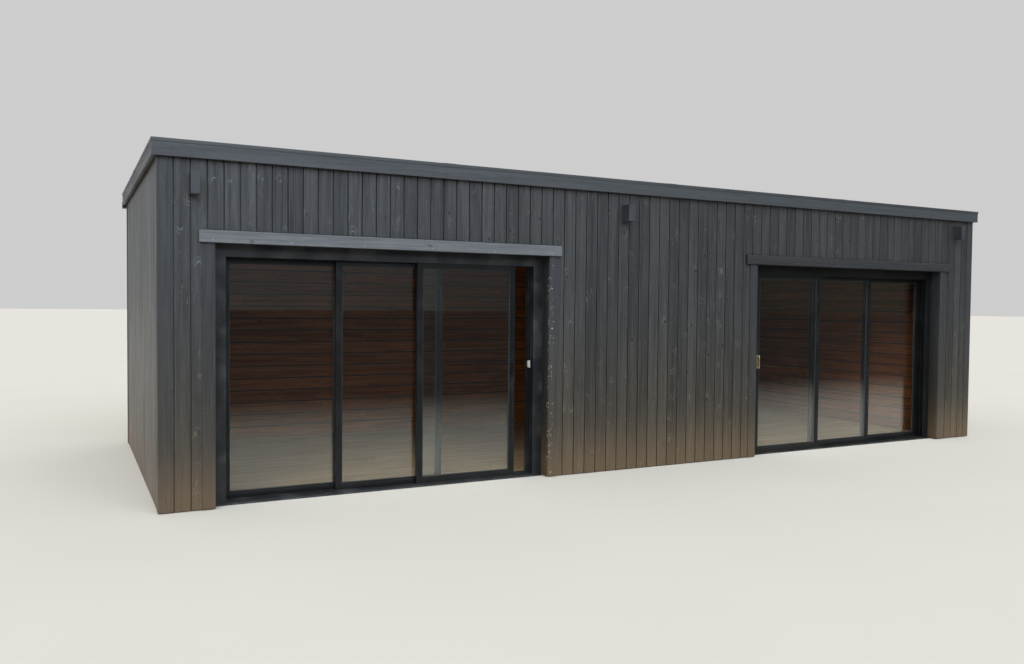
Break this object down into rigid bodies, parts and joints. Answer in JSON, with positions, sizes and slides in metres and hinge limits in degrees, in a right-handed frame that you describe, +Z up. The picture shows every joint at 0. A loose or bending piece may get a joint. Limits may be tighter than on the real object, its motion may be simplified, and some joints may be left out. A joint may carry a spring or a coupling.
{
  "type": "garden office pod",
  "caption": "Long flat-roofed garden office pod in vertical black timber boards, with wide three-track sliding glass doors, a fascia, wall lights and a rear gutter.",
  "frame": {"origin": "on the ground, below the middle of the outline seen from above", "axes": "+X along the front from left to right as one faces it, -Y out of the front, +Z up"},
  "size_m": [9.826, 4.07, 2.9],
  "materials": {
    "black_boards": "black stained, matt, weathered",
    "black_trim": "black stained, planed, matt",
    "wall_panel": "plain board over an insulated core",
    "floor": "satin boards",
    "roof_rubber": "matt sheet",
    "edge_metal": "satin coated, folded",
    "door_metal": "black powder coated, satin",
    "door_glass": "clear double glazing",
    "handle_brass": "brushed",
    "light_metal": "black, satin",
    "gutter_plastic": "black, semi matt"
  },
  "bodies": {
    "building": {"floor_panel": "floor", "front_wall_left": "wall_panel", "front_wall_middle": "wall_panel", "front_wall_right": "wall_panel", "front_wall_over_left_door": "wall_panel", "front_wall_over_right_door": "wall_panel", "back_wall": "wall_panel", "left_wall": "wall_panel", "right_wall": "wall_panel", "front_cladding": "black_boards", "back_cladding": "black_boards", "left_cladding": "black_boards", "right_cladding": "black_boards", "front_corner_trims": "black_trim", "back_corner_trims": "black_trim", "roof_deck": "wall_panel", "roof_sheet": "roof_rubber", "roof_edge_trim": "edge_metal", "front_fascia": "black_trim", "back_fascia": "black_trim", "left_fascia": "black_trim", "right_fascia": "black_trim", "left_door_surround": "black_trim", "right_door_surround": "black_trim", "left_door_frame": "door_metal", "right_door_frame": "door_metal", "left_fixed_panel": "door_metal", "left_fixed_glass": "door_glass", "right_fixed_panel": "door_metal", "right_fixed_glass": "door_glass", "left_wall_light": "light_metal", "middle_wall_light": "light_metal", "right_wall_light": "light_metal", "back_gutter": "gutter_plastic", "downpipe": "gutter_plastic"},
    "left_leading_door": {"left_leading_panel": "door_metal", "left_leading_glass": "door_glass", "left_door_handle": "door_metal"},
    "left_middle_door": {"left_middle_panel": "door_metal", "left_middle_glass": "door_glass"},
    "right_leading_door": {"right_leading_panel": "door_metal", "right_leading_glass": "door_glass", "right_door_handle": "handle_brass"},
    "right_middle_door": {"right_middle_panel": "door_metal", "right_middle_glass": "door_glass"}
  },
  "joints": [
    {"name": "left_leading_slide", "type": "slide", "parent": "building", "child": "left_leading_door", "axis": [1, 0, 0], "range_m": [-1.6663, 0.205]},
    {"name": "left_middle_slide", "type": "slide", "parent": "building", "child": "left_middle_door", "axis": [1, 0, 0], "range_m": [-0.9357, 0]},
    {"name": "right_leading_slide", "type": "slide", "parent": "building", "child": "right_leading_door", "axis": [1, 0, 0], "range_m": [-0.03, 1.8413]},
    {"name": "right_middle_slide", "type": "slide", "parent": "building", "child": "right_middle_door", "axis": [1, 0, 0], "range_m": [0, 0.9357]}
  ]
}
